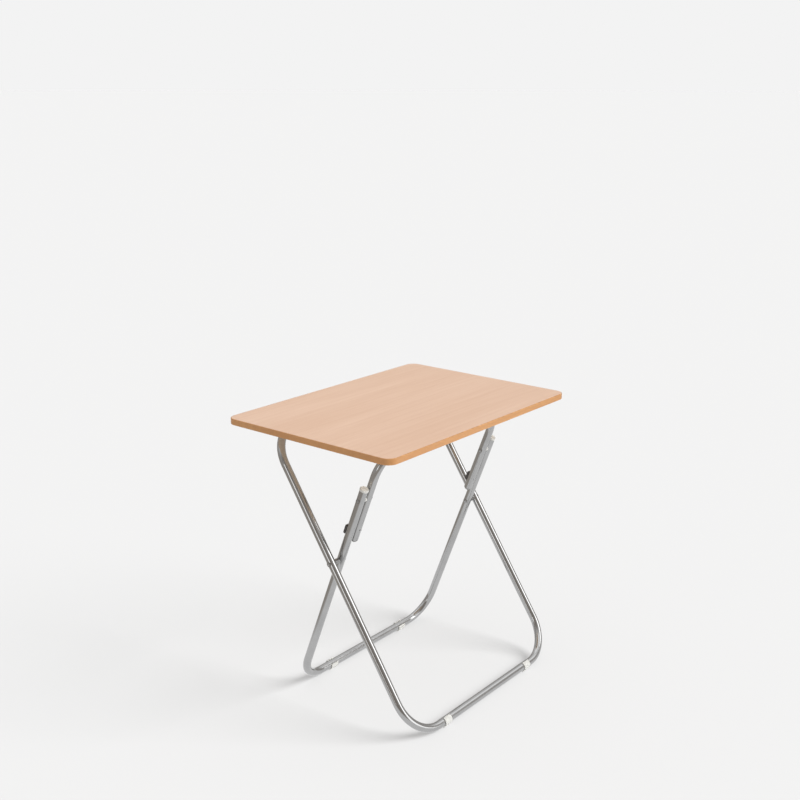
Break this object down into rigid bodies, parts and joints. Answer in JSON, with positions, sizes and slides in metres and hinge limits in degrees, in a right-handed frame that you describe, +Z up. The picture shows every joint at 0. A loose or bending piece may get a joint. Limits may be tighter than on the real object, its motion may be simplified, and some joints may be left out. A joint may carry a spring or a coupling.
{
  "type": "folding table",
  "caption": "Small rectangular folding table: wood-effect board with rounded corners on crossed bent-tube frames with a folding knee, end caps and clip-on feet.",
  "frame": {"origin": "on the floor, at the middle of the outline of the open table", "axes": "+X along the board's long edge, +Y from the front edge (over the outer frame's floor bar) to the back edge, +Z up"},
  "size_m": [0.7, 0.529, 0.7],
  "materials": {
    "beech_laminate": "satin",
    "edge_band": "satin",
    "board_core": "raw particle board",
    "backing_laminate": "matte",
    "chrome_tube": "bright plated",
    "rivet_steel": "bright plated",
    "zinc_steel": "zinc plated",
    "white_plastic": "moulded",
    "grey_plastic": "moulded",
    "dark_plastic": "moulded"
  },
  "bodies": {
    "tabletop": {"table_board": "board_core", "top_laminate": "beech_laminate", "underside_laminate": "backing_laminate", "edge_band": "edge_band", "rear_saddle_left": "dark_plastic", "rear_saddle_right": "dark_plastic", "front_saddle_left": "dark_plastic", "front_saddle_right": "dark_plastic", "rear_saddle_screws": "zinc_steel", "front_saddle_screws": "zinc_steel"},
    "outer_frame": {"outer_leg_frame": "chrome_tube", "outer_frame_joiner": "zinc_steel", "front_foot_left": "white_plastic", "front_foot_right": "white_plastic", "cross_pivot_rivet_left": "rivet_steel", "cross_pivot_rivet_right": "rivet_steel", "cross_pivot_spacer_left": "rivet_steel", "cross_pivot_spacer_right": "rivet_steel"},
    "upper_frame": {"upper_leg_frame": "chrome_tube", "upper_end_plug_left": "grey_plastic", "upper_end_plug_right": "grey_plastic", "knee_stop_left": "dark_plastic", "knee_stop_right": "dark_plastic", "knee_stop_rivet_left": "zinc_steel", "knee_stop_rivet_right": "zinc_steel"},
    "lower_frame": {"lower_leg_frame": "chrome_tube", "lower_end_cap_left": "white_plastic", "lower_end_cap_right": "white_plastic", "rear_foot_left": "white_plastic", "rear_foot_right": "white_plastic", "cross_pivot_end_left": "rivet_steel", "cross_pivot_end_right": "rivet_steel", "knee_rivet_left": "rivet_steel", "knee_rivet_right": "rivet_steel", "knee_spacer_left": "white_plastic", "knee_spacer_right": "white_plastic"}
  },
  "joints": [
    {"name": "outer_fold", "type": "hinge", "parent": "tabletop", "child": "outer_frame", "pos_m": [0, 0.1855, 0.665], "axis": [-1, 0, 0], "range_deg": [0, 56.15]},
    {"name": "upper_fold", "type": "hinge", "parent": "tabletop", "child": "upper_frame", "pos_m": [0, -0.1145, 0.665], "axis": [1, 0, 0], "range_deg": [0, 68.82]},
    {"name": "knee_fold", "type": "hinge", "parent": "upper_frame", "child": "lower_frame", "pos_m": [0, -0.06705, 0.54254], "axis": [-1, 0, 0], "range_deg": [0, 180]}
  ],
  "couplings": [
    {"joint": "upper_fold", "follows": "outer_fold", "ratio": 1.2257},
    {"joint": "knee_fold", "follows": "outer_fold", "ratio": 3.2058}
  ]
}
